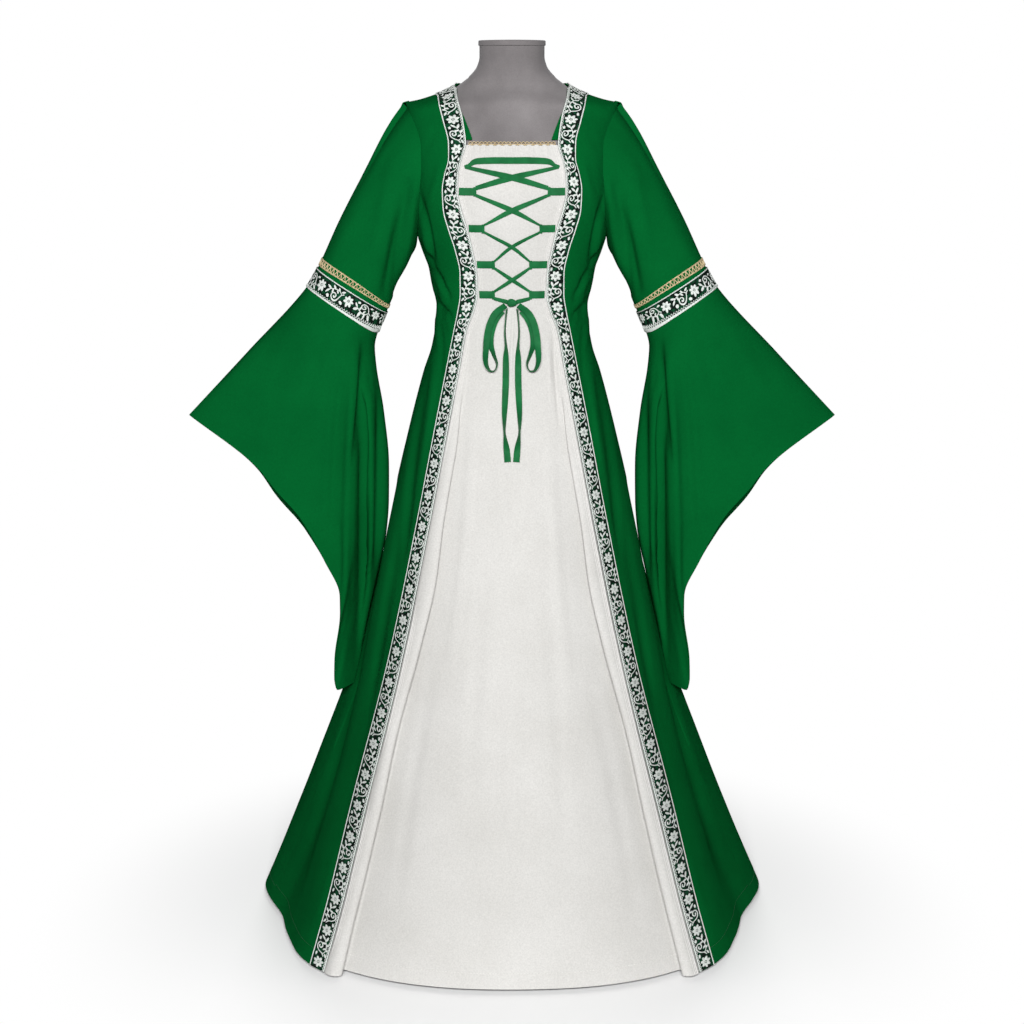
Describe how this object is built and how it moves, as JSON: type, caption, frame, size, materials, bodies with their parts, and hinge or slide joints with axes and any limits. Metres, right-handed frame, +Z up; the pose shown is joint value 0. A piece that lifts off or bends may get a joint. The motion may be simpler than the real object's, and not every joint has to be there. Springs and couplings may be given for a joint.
{
  "type": "renaissance costume dress on a limbless dress form with a stand",
  "caption": "Long laced costume dress with a white front panel, braid edges and bell sleeves, worn on a limbless dress form on a pole and round base.",
  "frame": {"origin": "centre of the stand's flat underside, on the floor under the pole", "axes": "+Z up along the pole, -Y towards the front of the dress, +X towards the wearer's left"},
  "size_m": [1.077, 0.745, 1.4758],
  "materials": {
    "green_cloth": "satin-matte stretch knit",
    "white_cloth": "matte",
    "ribbon": "satin",
    "jacquard": "woven jacquard, matte ground, raised thread",
    "crochet": "cotton crochet, matte",
    "form_cover": "suede nap",
    "stand_metal": "satin"
  },
  "bodies": {
    "root": {"white_front": "white_cloth", "green_front_right": "green_cloth", "green_front_left": "green_cloth", "green_back": "green_cloth", "neck_turning_right": "green_cloth", "neck_turning_left": "green_cloth", "neck_crochet": "crochet", "front_braid_right": "jacquard", "front_braid_left": "jacquard", "sleeve_upper_right": "green_cloth", "sleeve_upper_left": "green_cloth", "sleeve_bell_right": "green_cloth", "sleeve_bell_left": "green_cloth", "sleeve_crochet_right": "crochet", "sleeve_crochet_left": "crochet", "sleeve_band_right": "jacquard", "sleeve_band_left": "jacquard", "lace_tab_1_right": "ribbon", "lace_tab_1_left": "ribbon", "lace_tab_2_right": "ribbon", "lace_tab_2_left": "ribbon", "lace_tab_3_right": "ribbon", "lace_tab_3_left": "ribbon", "lace_tab_4_right": "ribbon", "lace_tab_4_left": "ribbon", "lace_bar": "ribbon", "lace_under_1": "ribbon", "lace_over_1": "ribbon", "lace_under_2": "ribbon", "lace_over_2": "ribbon", "lace_under_3": "ribbon", "lace_over_3": "ribbon", "lace_under_4": "ribbon", "lace_over_4": "ribbon", "lace_tie_right": "ribbon", "lace_tie_left": "ribbon", "lace_knot": "ribbon", "lace_loop_right": "ribbon", "lace_loop_left": "ribbon", "lace_tail_right": "ribbon", "lace_tail_left": "ribbon", "form_torso": "form_cover", "form_neck_cap": "form_cover", "form_pole": "stand_metal", "form_base": "stand_metal"}
  },
  "joints": []
}
